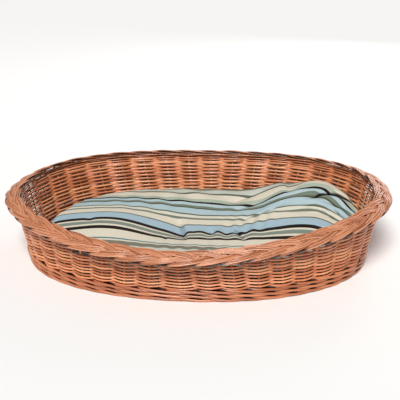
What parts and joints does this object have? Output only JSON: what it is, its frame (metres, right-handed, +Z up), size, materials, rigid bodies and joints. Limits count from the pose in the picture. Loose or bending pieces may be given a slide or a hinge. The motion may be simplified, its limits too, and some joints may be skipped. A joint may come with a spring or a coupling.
{
  "type": "pet bed basket",
  "caption": "Oval woven willow pet bed with flared sides, a low front, a plaited border and a loose striped cushion that lifts out.",
  "frame": {"origin": "on the ground, under the middle of the basket", "axes": "+X along the basket's length, -Y towards the low front side, +Z up"},
  "size_m": [0.999, 0.701, 0.1773],
  "materials": {
    "willow_weave": "satin varnished willow rods",
    "willow_wale": "satin varnished willow rods",
    "willow_border": "satin varnished willow rods",
    "willow_stake": "satin varnished willow rods",
    "striped_cotton": "woven cotton with length-wise stripes",
    "fibre_filling": "loose polyester fibre",
    "zip_tape": "woven nylon tape and coil",
    "zip_metal": "cast zinc"
  },
  "bodies": {
    "basket": {"upsett_wale": "willow_wale", "side_weave": "willow_weave", "top_wale": "willow_wale", "plaited_border": "willow_border", "base_weave": "willow_weave", "stake_01": "willow_stake", "stake_02": "willow_stake", "stake_03": "willow_stake", "stake_04": "willow_stake", "stake_05": "willow_stake", "stake_06": "willow_stake", "stake_07": "willow_stake", "stake_08": "willow_stake", "stake_09": "willow_stake", "stake_10": "willow_stake", "stake_11": "willow_stake", "stake_12": "willow_stake", "stake_13": "willow_stake", "stake_14": "willow_stake", "stake_15": "willow_stake", "stake_16": "willow_stake", "stake_17": "willow_stake", "stake_18": "willow_stake", "stake_19": "willow_stake", "stake_20": "willow_stake", "stake_21": "willow_stake", "stake_22": "willow_stake", "stake_23": "willow_stake", "stake_24": "willow_stake", "stake_25": "willow_stake", "stake_26": "willow_stake", "stake_27": "willow_stake", "stake_28": "willow_stake", "stake_29": "willow_stake", "stake_30": "willow_stake", "stake_31": "willow_stake", "stake_32": "willow_stake", "stake_33": "willow_stake", "stake_34": "willow_stake", "stake_35": "willow_stake", "stake_36": "willow_stake", "stake_37": "willow_stake", "stake_38": "willow_stake", "stake_39": "willow_stake", "stake_40": "willow_stake", "long_base_stick_1": "willow_stake", "long_base_stick_2": "willow_stake", "cross_base_stick_1": "willow_stake", "cross_base_stick_2": "willow_stake", "cross_base_stick_3": "willow_stake", "cross_base_stick_4": "willow_stake", "cross_base_stick_5": "willow_stake", "cross_base_stick_6": "willow_stake", "cross_base_stick_7": "willow_stake", "cross_base_stick_8": "willow_stake"},
    "cushion": {"cushion_cover": "striped_cotton", "cushion_filling": "fibre_filling", "zip_tape": "zip_tape"},
    "zip_slider": {"zip_slider": "zip_metal"}
  },
  "joints": [
    {"name": "cushion_lift", "type": "slide", "parent": "basket", "child": "cushion", "axis": [0, 0, 1], "range_m": [0, 0.3]},
    {"name": "zip_run", "type": "slide", "parent": "cushion", "child": "zip_slider", "axis": [1, 0, 0], "range_m": [0, 0.32]}
  ]
}
